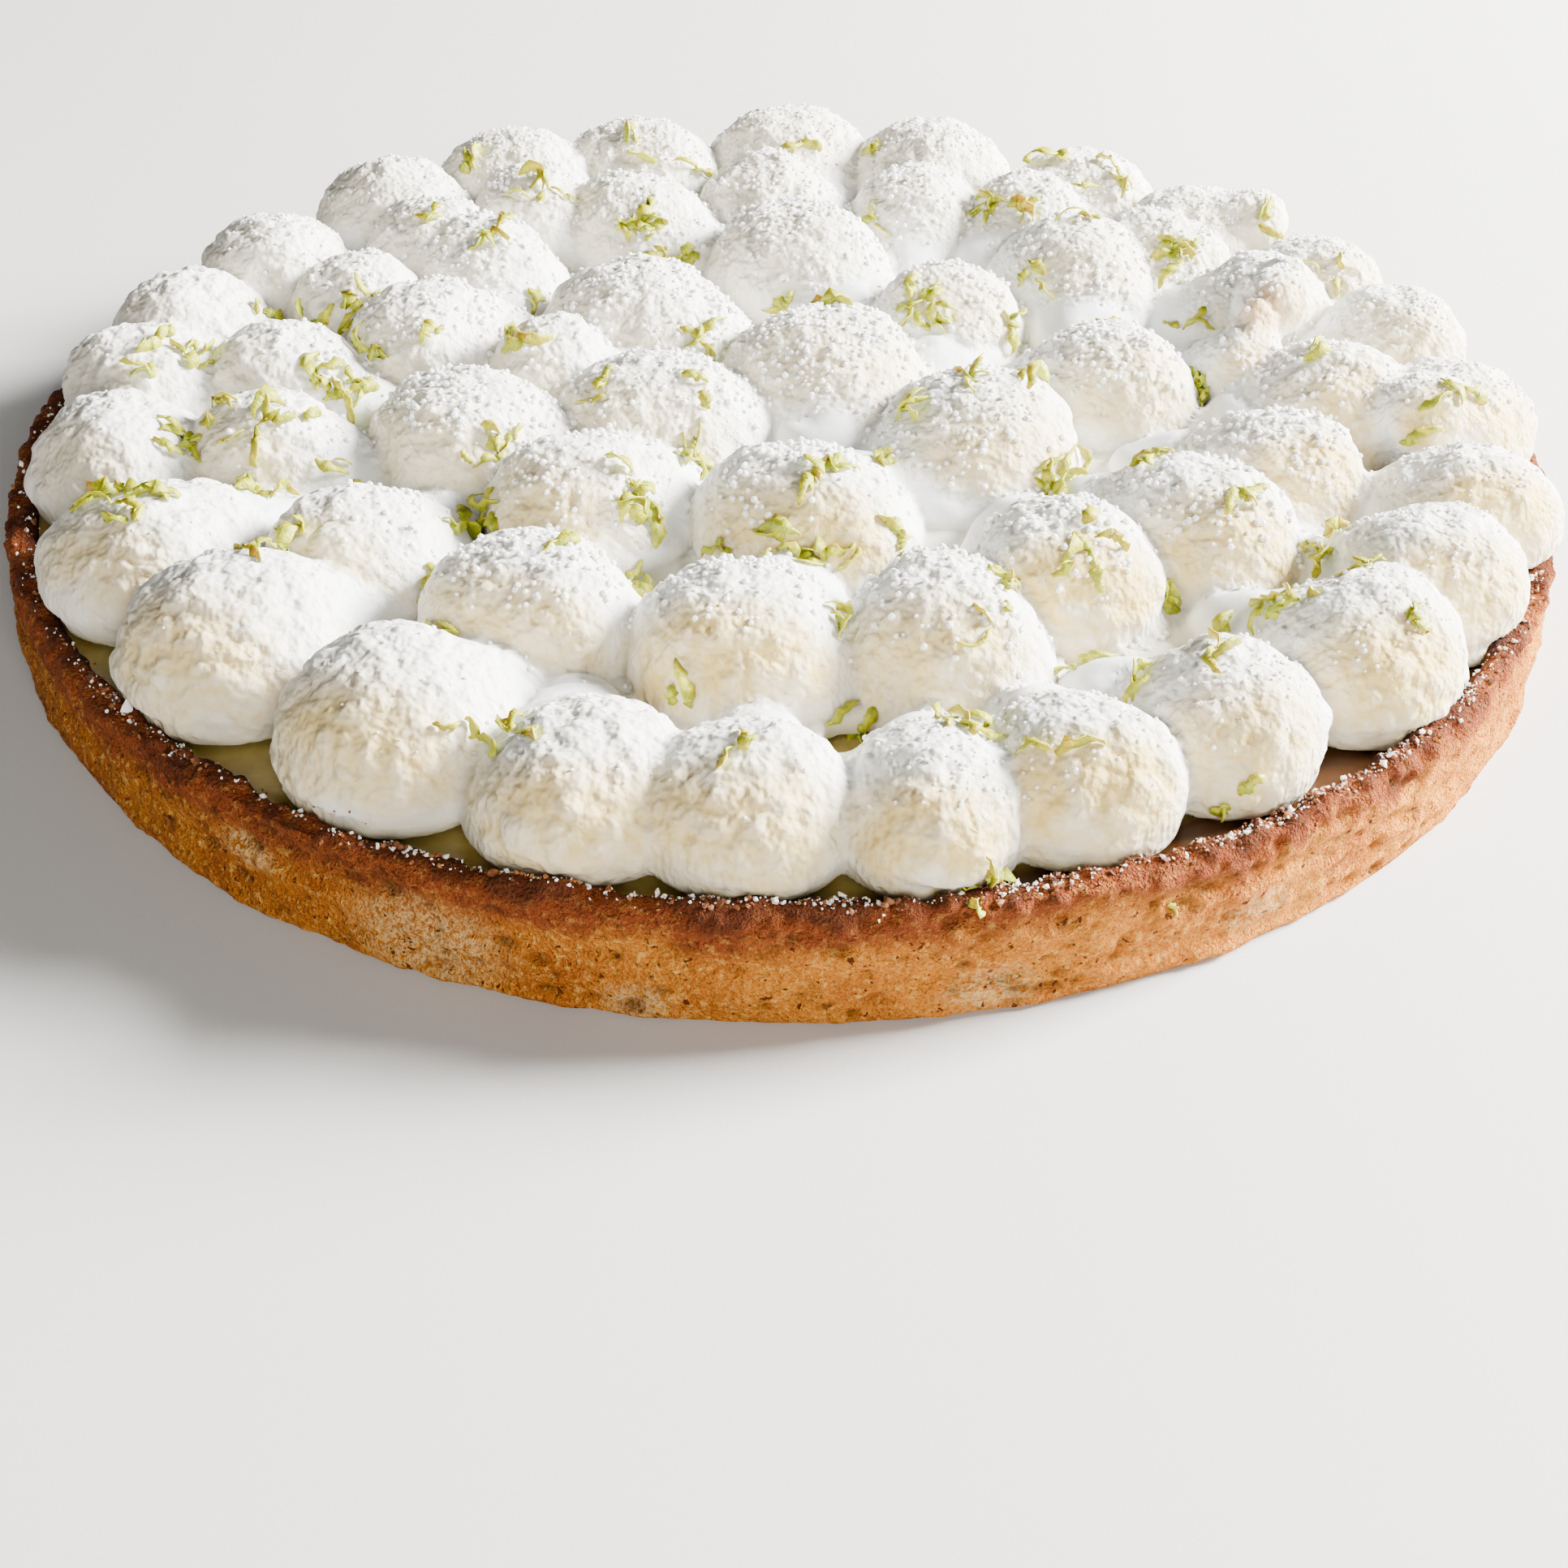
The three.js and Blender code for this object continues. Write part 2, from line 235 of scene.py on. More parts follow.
def paint(made, name, values):
    """Keeps one number for each point, for the material to read."""
    layer = made.data.attributes.new(name, "FLOAT", "POINT")
    layer.data.foreach_set("value", np.asarray(values, dtype=np.float32))


def polar(degrees, radius):
    """Where a direction and a distance from the middle lead, seen from above."""
    angle = math.radians(degrees)
    return radius * math.cos(angle), radius * math.sin(angle)


def point_normals(points, quads):
    """The way that the surface faces at each point."""
    corners = points[quads]
    facing = np.cross(corners[:, 2] - corners[:, 0], corners[:, 3] - corners[:, 1])
    total = np.zeros_like(points)
    for i in range(4):
        np.add.at(total, quads[:, i], facing)
    return total / np.maximum(np.linalg.norm(total, axis=1, keepdims=True), 1e-9)


def spread(values, quads, rounds):
    """Each point's value averaged with its neighbours', that many times."""
    count = np.maximum(np.bincount(quads.ravel(), minlength=len(values)), 1)
    for _ in range(rounds):
        middle = values[quads].mean(axis=1)
        values = sum(np.bincount(quads[:, i], middle, len(values)) for i in range(4)) / count
    return values


def hollows(points, quads, facing, rounds=8):
    """How far each point lies below the mean of its surroundings, in millimetres."""
    around = np.stack([spread(points[:, i], quads, rounds) for i in range(3)], axis=1)
    return ((around - points) * facing).sum(axis=1)


def skin(field, low, step):
    """Quads over the surface where a field on a grid turns from negative, inside, to positive.

    Each cell that the surface crosses holds one point, the mean of its crossings.
    """
    inside = field < 0
    corners = list(itertools.product((0, 1), repeat=3))
    size = np.array(field.shape) - 1
    count = sum(
        inside[x:x + size[0], y:y + size[1], z:z + size[2]].astype(np.int8)
        for x, y, z in corners)
    crossed = (count > 0) & (count < 8)
    cells = np.argwhere(crossed)
    number = np.full(crossed.shape, -1, dtype=np.int64)
    number[crossed] = np.arange(len(cells))
    total = np.zeros((len(cells), 3))
    hits = np.zeros((len(cells), 1))
    for start, end in itertools.combinations(corners, 2):
        along = np.subtract(end, start)
        if np.abs(along).sum() != 1:
            continue
        first = field[tuple((cells + start).T)].astype(float)
        last = field[tuple((cells + end).T)].astype(float)
        change = (first < 0) != (last < 0)
        part = np.where(change, first / np.where(change, first - last, 1), 0)
        total += np.where(change[:, None], np.array(start) + part[:, None] * along, 0)
        hits += change[:, None]
    points = low + step * (cells + total / hits)
    quads = []
    for axis in range(3):
        ahead = np.eye(3, dtype=int)[axis]
        beside = np.eye(3, dtype=int)[(axis + 1) % 3]
        above = np.eye(3, dtype=int)[(axis + 2) % 3]
        here = inside[:-1, :-1, :-1]
        there = inside[ahead[0]:, ahead[1]:, ahead[2]:][:size[0], :size[1], :size[2]]
        edges = np.argwhere(here != there)
        edges = edges[(edges[:, (axis + 1) % 3] > 0) & (edges[:, (axis + 2) % 3] > 0)]
        around = [edges - beside - above, edges - above, edges, edges - beside]
        quad = np.stack([number[tuple(cell.T)] for cell in around], axis=1)
        leaving = here[tuple(edges.T)]
        quads.append(np.where(leaving[:, None], quad, quad[:, ::-1]))
    return points, np.concatenate(quads)


def ball(subdivisions):
    """Points and triangles of a small ball of radius 1."""
    mesh = bmesh.new()
    bmesh.ops.create_icosphere(mesh, subdivisions=subdivisions, radius=1)
    points = np.array([v.co[:] for v in mesh.verts])
    faces = np.array([[v.index for v in f.verts] for f in mesh.faces])
    mesh.free()
    return points, faces


def turns(random, count):
    """Random rotations, as matrices."""
    q = random.normal(size=(count, 4))
    w, x, y, z = (q / np.linalg.norm(q, axis=1, keepdims=True)).T
    return np.stack([
        1 - 2 * (y * y + z * z), 2 * (x * y - z * w), 2 * (x * z + y * w),
        2 * (x * y + z * w), 1 - 2 * (x * x + z * z), 2 * (y * z - x * w),
        2 * (x * z - y * w), 2 * (y * z + x * w), 1 - 2 * (x * x + y * y),
    ], axis=1).reshape(count, 3, 3)


def grains(random, places, sizes, roundness):
    """Many small balls in one mesh, each squeezed and dented by up to 1 - roundness."""
    points, faces = ball(1)
    count = len(places)
    squeeze = 1 - (1 - roundness) * random.random((count, 1, 3))
    dents = 1 - (1 - roundness) * random.random((count, len(points), 1))
    shaped = points[None] * squeeze * dents * np.asarray(sizes)[:, None, None]
    shaped = np.einsum("nij,nkj->nki", turns(random, count), shaped) + places[:, None]
    offsets = len(points) * np.arange(count)[:, None, None]
    return shaped.reshape(-1, 3), (faces[None] + offsets).reshape(-1, 3)


# ------------------------------------------------------------------ materials


def add(tree, kind, inputs=None, **settings):
    """A node with its settings, and its sockets set to values or fed from other sockets."""
    node = tree.nodes.new(kind)
    for name, value in settings.items():
        setattr(node, name, value)
    for name, value in (inputs or {}).items():
        if isinstance(value, bpy.types.NodeSocket):
            tree.links.new(value, node.inputs[name])
        else:
            node.inputs[name].default_value = value
    return node


def look(name, **sockets):
    """A material with one Principled shader. Returns it with its node tree and the shader."""
    material = bpy.data.materials.new(name)
    material.use_nodes = True
    tree = material.node_tree
    shader = tree.nodes["Principled BSDF"]
    for socket, value in sockets.items():
        shader.inputs[socket.replace("_", " ")].default_value = value
    return material, tree, shader


def grain(tree, size, detail=3.0, roughness=0.55):
    """Noise with features of that size in millimetres, from 0 to 1."""
    place = add(tree, "ShaderNodeTexCoord").outputs["Object"]
    node = add(tree, "ShaderNodeTexNoise", {
        "Vector": place, "Scale": 1 / (size * MM), "Detail": detail, "Roughness": roughness})
    return node.outputs["Fac"]


def painted(tree, name):
    """The numbers that paint() kept under that name."""
    return add(tree, "ShaderNodeAttribute", attribute_name=name).outputs["Fac"]


def math_node(tree, operation, first, second):
    """Two values or sockets put together by that operation."""
    node = add(tree, "ShaderNodeMath", operation=operation)
    for socket, value in zip(node.inputs, (first, second)):
        if isinstance(value, bpy.types.NodeSocket):
            tree.links.new(value, socket)
        else:
            socket.default_value = value
    return node.outputs[0]


def window(tree, value, low, high, bottom=0.0, top=1.0):
    """Maps low to bottom and high to top, and stays between them."""
    node = add(tree, "ShaderNodeMapRange", {
        "Value": value, "From Min": low, "From Max": high, "To Min": bottom, "To Max": top})
    return node.outputs["Result"]


def mix(tree, factor, first, second):
    """One colour turning into another as the factor goes from 0 to 1."""
    node = add(tree, "ShaderNodeMix", data_type="RGBA")
    for socket, value in zip((node.inputs[0], node.inputs[6], node.inputs[7]),
                             (factor, first, second)):
        if isinstance(value, bpy.types.NodeSocket):
            tree.links.new(value, socket)
        else:
            socket.default_value = value
    return node.outputs[2]


def bump(tree, shader, height, depth, strength=1.0):
    """Relief of that depth in millimetres."""
    node = add(tree, "ShaderNodeBump", {
        "Height": height, "Distance": depth * MM, "Strength": strength})
    tree.links.new(node.outputs["Normal"], shader.inputs["Normal"])


# Colours of the meringue: its sides; the parts low between the feet, yellow from the curd and
# darkened with painted shade and painted warm bounce light; and the caps, with the three ways in
# which a cap is darker: toast, which also stands as painted shade, tan, and painted crease shade
MERINGUE_SIDES = (0.82, 0.83, 0.84, 1)
MERINGUE_LOW_TINT_AND_SHADE = (0.69, 0.64, 0.46, 1)
MERINGUE_CAPS = (0.8, 0.788, 0.74, 1)
TOASTED_AND_SHADED = (0.7, 0.525, 0.19, 1)
TANNED = (0.62, 0.38, 0.2, 1)
CREASE_SHADE = (0.56, 0.55, 0.5, 1)
BEAD_COLOURS = (0.99, 0.99, 0.985, 1), (0.98, 0.97, 0.93, 1)
ZEST_GREEN = (0.22, 0.27, 0.002, 1)
ZEST_YELLOW = (0.5, 0.48, 0.002, 1)
ZEST_PITH = (0.52, 0.6, 0.02, 1)
CURD_COLOURS = (0.27, 0.185, 0.032, 1), (0.38, 0.29, 0.08, 1)
CURD_EDGE_BROWN_AND_SHADE = (0.07, 0.025, 0.007, 1)
# Colours of the shell, in the order in which they are laid over each other
CRUST_GOLDEN = (0.58, 0.155, 0.012, 1), (0.97, 0.36, 0.028, 1)
CRUST_PAINTED_SHADE = (0.16, 0.03, 0.009, 1)
CRUST_BAKED = (0.26, 0.055, 0.013, 1)
CRUST_SANDY = (0.1, 0.024, 0.004, 1)
CRUST_CRUMB = (0.84, 0.45, 0.09, 1)
CRUST_PALE = (0.74, 0.45, 0.17, 1)
CRUST_SPECKS = (0.1, 0.024, 0.003, 1)
CRUST_BURNT_AND_SHADED = (0.045, 0.012, 0.005, 1)
CRUST_PIT_SHADE = (0.06, 0.018, 0.005, 1)
SUGAR_COLOURS = (0.97, 0.96, 0.94, 1), (0.9, 0.84, 0.74, 1)
CRUMB_COLOURS = (0.3, 0.1, 0.02, 1), (0.08, 0.02, 0.006, 1)
FLOOR_COLOURS = (0.6, 0.59, 0.57, 1), (0.63, 0.62, 0.6, 1)


def meringue_look():
    """White foam, cream and toasted on the caps, powdery between their crinkles, with painted
    shade in the creases, on the toasted sides and low between the feet.
    """
    material, tree, shader = look(
        "meringue", Roughness=0.65, Subsurface_Weight=0.15, Subsurface_Scale=0.002,
        Subsurface_Radius=(1.0, 0.9, 0.75), Specular_IOR_Level=0.2)
    # Toast on the caps, which also stands as painted shade where they face away from the daylight
    toast = math_node(tree, "MULTIPLY", painted(tree, "toast"),
                      window(tree, grain(tree, 5, detail=4), 0.1, 0.4))
    # Low between the feet: yellow from the curd, with painted shade and painted warm bounce light
    white = mix(tree, painted(tree, "deep"), MERINGUE_SIDES, MERINGUE_LOW_TINT_AND_SHADE)
    baked = mix(tree, painted(tree, "cap"), white, MERINGUE_CAPS)
    toasted = mix(tree, toast, baked, TOASTED_AND_SHADED)
    tanned = mix(tree, painted(tree, "tan"), toasted, TANNED)
    # Painted shade in the creases, darkest in the deepest hollows
    creases = math_node(tree, "MULTIPLY", painted(tree, "crease"), 0.7)
    shaded = mix(tree, creases, tanned, CREASE_SHADE)
    tree.links.new(shaded, shader.inputs["Base Color"])
    sandy = math_node(tree, "MULTIPLY", grain(tree, 0.6, detail=2), painted(tree, "powdery"))
    fine = math_node(tree, "ADD", grain(tree, 1.7, detail=1),
                     math_node(tree, "MULTIPLY", sandy, 0.15))
    relief = math_node(tree, "MULTIPLY", fine,
                       window(tree, painted(tree, "cap"), 0, 1, bottom=0.08))
    bump(tree, shader, relief, 0.95)
    return material


def bead_look():
    """Sugar beads that let light through."""
    material, tree, shader = look(
        "sugar_bead", Roughness=0.4, Specular_IOR_Level=0.3, Subsurface_Weight=0.7,
        Subsurface_Scale=0.001, Subsurface_Radius=(1.0, 1.0, 1.0))
    tint = mix(tree, grain(tree, 12), *BEAD_COLOURS)
    tree.links.new(tint, shader.inputs["Base Color"])
    return material


def zest_look():
    """Green to yellow peel, paler on the pith."""
    material, tree, shader = look(
        "lime_zest", Roughness=0.45, Subsurface_Weight=0.2, Subsurface_Scale=0.001)
    ripe = window(tree, grain(tree, 1.2), 0.35, 0.65)
    tint = mix(tree, painted(tree, "pith"), mix(tree, ripe, ZEST_GREEN, ZEST_YELLOW), ZEST_PITH)
    tree.links.new(tint, shader.inputs["Base Color"])
    bump(tree, shader, grain(tree, 0.4), 0.2)
    return material


def curd_look():
    """Moist curd, brown where it meets the shell, and darker there with painted shadow."""
    material, tree, shader = look(
        "lemon_curd", Roughness=0.22, Subsurface_Weight=0.2, Subsurface_Scale=0.002,
        Specular_IOR_Level=0.5)
    tint = mix(tree, window(tree, grain(tree, 7), 0.35, 0.65), *CURD_COLOURS)
    # Brown, with painted shadow of the rim and the meringue, where the curd meets the shell
    edge = mix(tree, painted(tree, "edge"), tint, CURD_EDGE_BROWN_AND_SHADE)
    tree.links.new(edge, shader.inputs["Base Color"])
    bump(tree, shader, grain(tree, 3), 0.15)
    return material


def crust_look():
    """Baked pastry: golden patches, painted shade on the left, a browned rim with painted shadow
    on its inner edge, dark and pale grains, specks, and pits with painted shade in them.
    """
    material, tree, shader = look("crust", Roughness=0.85, Specular_IOR_Level=0.1)
    patches = window(tree, grain(tree, 9, detail=5, roughness=0.6), 0.3, 0.7)
    golden = mix(tree, patches, *CRUST_GOLDEN)
    # Painted shade on the side away from the daylight
    shaded = mix(tree, painted(tree, "left"), golden, CRUST_PAINTED_SHADE)
    baked = mix(tree, painted(tree, "baked"), shaded, CRUST_BAKED)
    sand = window(tree, grain(tree, 0.6, detail=4, roughness=0.8), 0.45, 0.68, top=0.7)
    sandy = mix(tree, sand, baked, CRUST_SANDY)
    crumbs = math_node(tree, "MULTIPLY",
                       window(tree, painted(tree, "baked"), 0, 1, bottom=0.8, top=0.25),
                       window(tree, grain(tree, 1.1, detail=4, roughness=0.75), 0.52, 0.66))
    crumbly = mix(tree, crumbs, sandy, CRUST_CRUMB)
    flour = math_node(tree, "MULTIPLY", painted(tree, "pale"),
                      window(tree, grain(tree, 0.9, detail=3, roughness=0.8), 0.42, 0.58))
    floury = mix(tree, flour, crumbly, CRUST_PALE)
    specks = window(tree, grain(tree, 1.4, detail=2, roughness=0.7), 0.63, 0.68)
    speckled = mix(tree, specks, floury, CRUST_SPECKS)
    # Burnt edges of the rim, with painted shadow on the inner edge
    burnt_and_shaded = mix(tree, painted(tree, "burnt_and_shaded"), speckled, CRUST_BURNT_AND_SHADED)
    # Painted shade in the pits
    pitted = mix(tree, painted(tree, "pit"), burnt_and_shaded, CRUST_PIT_SHADE)
    tree.links.new(pitted, shader.inputs["Base Color"])
    fine = math_node(tree, "ADD", grain(tree, 1.1, detail=4, roughness=0.75),
                     grain(tree, 0.45, detail=2))
    bump(tree, shader, fine, 1.5)
    return material


def crumb_look(name, colours):
    """Crumbs of sugar or pastry, between two colours."""
    material, tree, shader = look(
        name, Roughness=0.6, Subsurface_Weight=0.1, Subsurface_Scale=0.001)
    tint = mix(tree, window(tree, grain(tree, 1.5), 0.4, 0.6), *colours)
    tree.links.new(tint, shader.inputs["Base Color"])
    return material


def floor_look():
    """A plain warm grey."""
    material, tree, shader = look("floor", Roughness=0.7)
    tint = mix(tree, grain(tree, 80), *FLOOR_COLOURS)
    tree.links.new(tint, shader.inputs["Base Color"])
    return material


# ------------------------------------------------------------------ the meringue

# Sizes and offsets as shares of a dollop's half width. Of two values, the first is for the middle
# of the pie and the second for the rim
HEAD_WIDTH = (0.92, 0.98)
HEAD_STRETCH = 0.07
LEAST_LEAN = (0.03, -0.03)
LEAN_CHANGE = (0.13, 0.09)
SIDE_LEAN = 0.1
FOOT_INWARDS = (0, 0.06)
FOOT_LENGTH = (1.04, 0.95)
FOOT_WIDTH = 1.02
SHOULDER_OUT = 0.34
SHOULDER_WIDTH = 0.62
TAIL_INWARDS = (0.55, 0.75)
TAIL_BEND = 0.15
TAIL_LENGTH = 1.1
TAIL_WIDTH = 0.62
# Half heights as shares of the height of the top above the waist
FOOT_HEIGHT = 0.62
SHOULDER_HEIGHT = 0.95
TAIL_HEIGHT = 0.55
# To the left of this, the dollops along the front rim have feet that reach the shell
LEFT_FRONT_EDGE = -30
# How many half widths a dollop reaches from its place at most
REACH = 2.3
# Over how many millimetres the forms run together
SHOULDER_MELT = 2.5
TAIL_MELT = 6
NEIGHBOUR_MELT = 0.7
LUMP_MELT = 2.5
# The grid on which the meringue is worked out
GRID_HALF = 122
GRID_BOTTOM = UNDERSIDE - 1.5
GRID_TOP = 37


def dollops():
    """Place, half width, top and tail direction of each dollop, as the part's source has them."""
    random = random_from(SEED)
    made = []
    for degrees, radius, width in RIM_RING + SECOND_RING + MIDDLE:
        x, y = polar(degrees, radius)
        on_rim = radius > BED_RADIUS
        skew = RIM_SKEW if on_rim else MIDDLE_SKEW
        rise = RISE_BASE + RISE_SHARE * width + RISE_CHANGE * (next(random) - 0.5)
        tail = math.radians(degrees) + math.pi + math.radians(skew) * (2 * next(random) - 1)
        made.append({"x": x, "y": y, "half": width / 2, "top": WAIST + rise, "tail": tail,
                     "phase": next(random), "on_rim": on_rim})
    return made


def egg(u, v, w, middle, radii):
    """Distance to an egg: negative inside."""
    parts = [(value - m) / r for value, m, r in zip((u, v, w), middle, radii)]
    near = np.sqrt(sum(part * part for part in parts))
    steep = np.sqrt(sum((part / r) ** 2 for part, r in zip(parts, radii)))
    return near * (near - 1) / np.maximum(steep, 1e-6)


def melt(first, second, width):
    """The nearer of two fields, run together over that width."""
    share = np.clip(0.5 + 0.5 * (second - first) / width, 0, 1)
    return second + (first - second) * share - width * share * (1 - share)


def dollop_fields(dollop, u, v, z):
    """Distances to one dollop and to its cap, u pointing along its tail and v across it.

    The dollop's phase, from 0 to 1, gives it its own lean, stretch, shoulder and bend.
    """
    half, phase, on_rim = dollop["half"], dollop["phase"], dollop["on_rim"]
    rise = dollop["top"] - WAIST
    # At the left front the feet reach outwards to the shell instead of inwards
    outside = -1 if dollop["x"] < LEFT_FRONT_EDGE and dollop["y"] < 0 else 1
    foot = egg(u, v, z, (outside * FOOT_INWARDS[on_rim] * half, 0, WAIST - 1.2),
               (FOOT_LENGTH[on_rim] * half, FOOT_WIDTH * half, FOOT_HEIGHT * rise))
    # The head leans out over the foot by its own amount
    lean = -(LEAN_CHANGE[on_rim] * phase + LEAST_LEAN[on_rim]) * half
    side = SIDE_LEAN * math.sin(20 * phase) * half
    stretch = 1 + HEAD_STRETCH * math.sin(11 * phase)
    width = HEAD_WIDTH[on_rim] * half
    cap = egg(u, v, z, (lean, side, WAIST + 1.2),
              (width / stretch, width * stretch, rise - 1.2))
    way = 40 * phase
    out = SHOULDER_OUT * half
    shoulder = egg(u, v, z, (out * math.cos(way) + lean, out * math.sin(way), WAIST + 2),
                   (SHOULDER_WIDTH * half, SHOULDER_WIDTH * half, SHOULDER_HEIGHT * rise - 2))
    cap = melt(cap, shoulder, SHOULDER_MELT)
    bend = TAIL_BEND * half * math.sin(9 * phase)
    tail = egg(u, v, z, (TAIL_INWARDS[on_rim] * half, bend, WAIST - 1.5),
               (TAIL_LENGTH * half, TAIL_WIDTH * half, TAIL_HEIGHT * rise))
    return melt(melt(foot, cap, 1 + 4 * phase), tail, TAIL_MELT), cap


def meringue_field():
    """The meringue as fields on a grid: all of it, the caps alone, and whose cap is nearest."""
    xs = np.arange(-GRID_HALF, GRID_HALF, VOXEL, dtype=np.float32)
    zs = np.arange(GRID_BOTTOM, GRID_TOP, VOXEL, dtype=np.float32)
    x, y, z = xs[:, None, None], xs[None, :, None], zs[None, None, :]
    shape = (len(xs), len(xs), len(zs))
    distance = np.sqrt(x * x + y * y)
    whole = np.maximum(distance - BED_RADIUS, z - BED_TOP) + np.zeros(shape, np.float32)
    for degrees, radius, size in OPENINGS:
        east, north = polar(degrees, radius)
        way = np.arctan2(y - north, x - east)
        uneven = 1 + 0.3 * np.sin(2 * way + degrees) + 0.15 * np.sin(3 * way + 2 * degrees)
        hole = size * uneven - np.sqrt((x - east) ** 2 + (y - north) ** 2)
        whole = np.maximum(whole, hole)
    caps = np.full(shape, GRID_HALF, np.float32)
    owner = np.zeros(shape, np.int16)
    for index, dollop in enumerate(dollops()):
        reach = REACH * dollop["half"]
        across = (np.abs(xs - dollop["x"]) < reach).nonzero()[0]
        down = (np.abs(xs - dollop["y"]) < reach).nonzero()[0]
        part = slice(across[0], across[-1] + 1), slice(down[0], down[-1] + 1)
        east = xs[part[0]][:, None, None] - dollop["x"]
        north = xs[part[1]][None, :, None] - dollop["y"]
        u = east * math.cos(dollop["tail"]) + north * math.sin(dollop["tail"])
        v = north * math.cos(dollop["tail"]) - east * math.sin(dollop["tail"])
        dollop_field, cap = dollop_fields(dollop, u, v, z)
        whole[part] = melt(whole[part], dollop_field, NEIGHBOUR_MELT)
        owner[part] = np.where(cap < caps[part], index, owner[part])
        caps[part] = np.minimum(caps[part], cap)
    for degrees, radius, middle, half, rise in LUMPS:
        east, north = polar(degrees, radius)
        lump = egg(x - east, y - north, z, (0, 0, middle), (half, half, rise))
        whole = melt(whole, lump, LUMP_MELT)
        caps = np.minimum(caps, lump)
    clear_of_rim = np.maximum(INSIDE_RADIUS - GAP - distance, z - SHELL_HEIGHT - RIM_WAVE - GAP)
    whole = np.maximum(np.maximum(whole, -clear_of_rim), UNDERSIDE - GAP / 2 - z)
    low = np.array([xs[0], xs[0], zs[0]], dtype=float)
    return whole, caps, owner, low


# How deep the soft swellings and the crinkles of the caps are, in millimetres
SWELL_DEPTH = 0.4
CRINKLE_DEPTH = 0.8
FINE_CRINKLE_DEPTH = 0.52
FOLD_DEPTH = 0.6
# The way in which the toasted sides of the heads face: away from the daylight, so that their
# toast is also painted shade
TOAST_AND_SHADE_AIM = (-0.15, -0.8, 0.35)


def left_front(points):
    """1 on the dollops at the left front, which have deep wrinkles and few beads, 0 elsewhere."""
    way = np.arctan2(points[:, 1], points[:, 0])
    out = np.hypot(points[:, 0], points[:, 1])
    return step_up(out, 60, 85) * step_up(np.cos(way - math.radians(215)), 0.1, 0.8)


def meringue():
    """All the dollops and the bed in one piece, without the underside, which never shows."""
    whole, caps, owner, low = meringue_field()
    points, quads = skin(whole, low, VOXEL)
    hidden = points[quads][:, :, 2].max(axis=1) < UNDERSIDE + 0.2
    used, quads = np.unique(quads[~hidden], return_inverse=True)
    points, quads = points[used], quads.reshape(-1, 4)
    facing = point_normals(points, quads)
    cell = tuple(np.clip(np.round((points - low) / VOXEL).astype(int), 0,
                         np.array(whole.shape) - 1).T)
    # How far each point lies outside the caps, whose edges wander and reach lower at the sides
    edge = caps[cell] + 0.9 * noise(points, size=6, seed=13) - 1.5 * facing[:, 2]
    on_cap = 1 - step_up(edge, -1.2, 2.8)
    above = step_up(points[:, 2], UNDERSIDE, UNDERSIDE + 3)
    # Soft unevenness everywhere, and on the caps the crinkled skin of baked foam
    swell = SWELL_DEPTH * noise(points, size=9, seed=11)
    swell += (SWELL_DEPTH - 0.25 * on_cap) * noise(points, size=4, seed=12)
    wrinkled = left_front(points)
    fine = ridges(points, size=2.4, seed=30) - 0.5
    crinkle = (CRINKLE_DEPTH - 0.4 * wrinkled) * (ridges(points, size=3.8, seed=20) - 0.5)
    crinkle += (FINE_CRINKLE_DEPTH + 0.45 * wrinkled) * fine
    # In places a fold runs below the edge of the cap
    fold = np.exp(-((edge - 1.6) / 0.9) ** 2)
    fold *= step_up(noise(points, size=8, seed=60), -0.15, 0.25)
    height = above * (swell + on_cap * crinkle - FOLD_DEPTH * fold)
    # Painted shade in the hollows, where the creases lie
    crease = step_up(hollows(points, quads, facing), 0.08, 0.6)
    points = points + facing * height[:, None]
    made = mesh_piece("meringue_dollops", points, quads, meringue_look())
    # The heads are toasted where they face the front and outwards, each to its own degree and
    # less towards the back, and more in the hollows of the crinkles. These sides face away from the
    # daylight, so the toast is also painted shade, as it is in the hollows
    outwards = points.copy()
    outwards[:, 2] = 0
    outwards /= np.maximum(np.linalg.norm(outwards, axis=1, keepdims=True), 1)
    aim = 0.35 * outwards + TOAST_AND_SHADE_AIM
    aim /= np.linalg.norm(aim, axis=1, keepdims=True)
    towards = (facing * aim).sum(axis=1)
    own = np.array([0.8 + 0.2 * dollop["phase"] for dollop in dollops()])[owner[cell]]
    own *= 0.3 + 0.7 * step_up(0.4 * points[:, 0] - points[:, 1], -50, 80)
    toast = on_cap * own * step_up(towards, 0.25, 0.85) * (1 - 0.5 * fine)
    paint(made, "cap", on_cap)
    paint(made, "crease", crease)
    paint(made, "powdery", on_cap * (1 - 0.9 * wrinkled))
    paint(made, "toast", toast)
    # Yellow from the curd low down, with painted shade and painted warm bounce light
    paint(made, "deep", 1 - step_up(points[:, 2], UNDERSIDE + 0.5, UNDERSIDE + 6.5))
    from_peak = np.linalg.norm(points - PEAK, axis=1)
    paint(made, "tan", 0.7 * (1 - step_up(from_peak, 1.5, 7)))
    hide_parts("meringue")
    return made, points, quads, facing, on_cap


# Half width of the smallest beads in millimetres. The largest are twice as wide
BEAD_SIZE = 0.34
BEAD_ROUNDNESS = 0.93


